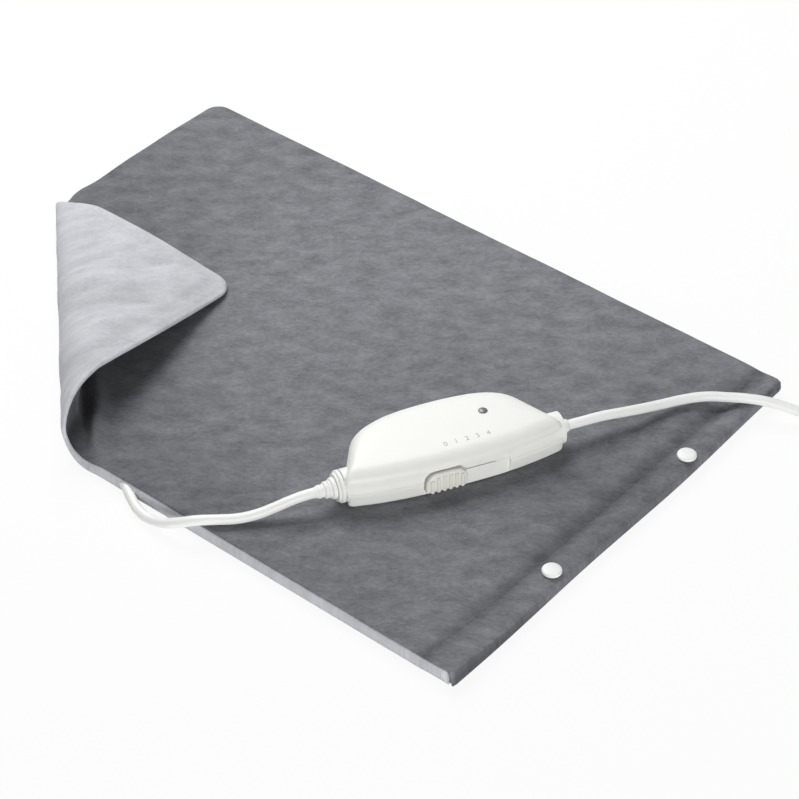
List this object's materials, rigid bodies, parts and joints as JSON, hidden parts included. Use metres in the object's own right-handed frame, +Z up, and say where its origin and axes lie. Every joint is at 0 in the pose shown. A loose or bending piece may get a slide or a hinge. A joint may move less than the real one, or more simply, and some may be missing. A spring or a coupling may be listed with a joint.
{
  "type": "heating pad with controller",
  "caption": "Flat electric heating pad, dark on top and light beneath, with a corner turned over, a press-stud hem, a slide controller on its cord, and a coiled mains lead with plug.",
  "frame": {"origin": "middle of the pad's footprint, on the surface that it lies on", "axes": "+X along the pad's length towards the hem with the press studs, +Y across the pad towards its far long edge, +Z up"},
  "size_m": [0.4847, 0.399, 0.0312],
  "materials": {
    "dark_velour": "short-pile grey velour",
    "light_velour": "short-pile light grey velour",
    "wadding": "white needled wadding",
    "carrier_fabric": "thin non-woven sheet",
    "wire_sheath": "soft heating wire sheath",
    "cutout_case": "dark moulded case",
    "stud_plastic": "white moulded press stud",
    "shell_plastic": "satin white moulding",
    "knob_plastic": "satin ivory-white moulding",
    "carriage_plastic": "dark moulded carrier",
    "contact_brass": "stamped contact sheet",
    "board": "green circuit board",
    "capacitor_case": "yellow film capacitor case",
    "triac_case": "black moulded case",
    "fuse_body": "pale ceramic fuse body",
    "lens": "smoked clear lens",
    "lamp": "amber lamp body",
    "screw_steel": "zinc-plated steel",
    "boot_plastic": "soft white moulding",
    "cord_jacket": "smooth white cord jacket",
    "tie": "black coated wire tie",
    "plug_plastic": "white moulded plug",
    "pin_metal": "nickel-plated pins"
  },
  "bodies": {
    "pad": {"cover_top": "dark_velour", "cover_bottom": "light_velour", "wadding": "wadding", "carrier_sheet": "carrier_fabric", "heating_wire": "wire_sheath", "thermal_cutout_1": "cutout_case", "thermal_cutout_2": "cutout_case", "stud_cap_1": "stud_plastic", "stud_socket_1": "stud_plastic", "stud_post_1": "stud_plastic", "stud_cap_2": "stud_plastic", "stud_socket_2": "stud_plastic", "stud_post_2": "stud_plastic", "controller_top_shell": "shell_plastic", "controller_bottom_shell": "shell_plastic", "fixed_contacts": "contact_brass", "circuit_board": "board", "capacitor": "capacitor_case", "triac": "triac_case", "fuse": "fuse_body", "indicator_lens": "lens", "indicator_lamp": "lamp", "shell_screw_1": "screw_steel", "shell_screw_2": "screw_steel", "shell_screw_3": "screw_steel", "pad_cord_boot": "boot_plastic", "mains_cord_boot": "boot_plastic", "plug_strain_relief": "boot_plastic", "cord_moulding": "boot_plastic", "pad_cord": "cord_jacket", "mains_cord": "cord_jacket", "mains_cord_coil": "cord_jacket", "mains_cord_tail": "cord_jacket", "coil_tie": "tie", "plug_body": "plug_plastic", "plug_pin_1": "pin_metal", "plug_pin_2": "pin_metal"},
    "slider": {"slide_knob": "knob_plastic", "slot_shutter": "knob_plastic", "contact_carriage": "carriage_plastic", "wiper_contact": "contact_brass"}
  },
  "joints": [
    {"name": "heat_slide", "type": "slide", "parent": "pad", "child": "slider", "axis": [0.4656, 0.885, 0], "range_m": [0, 0.0232]}
  ]
}
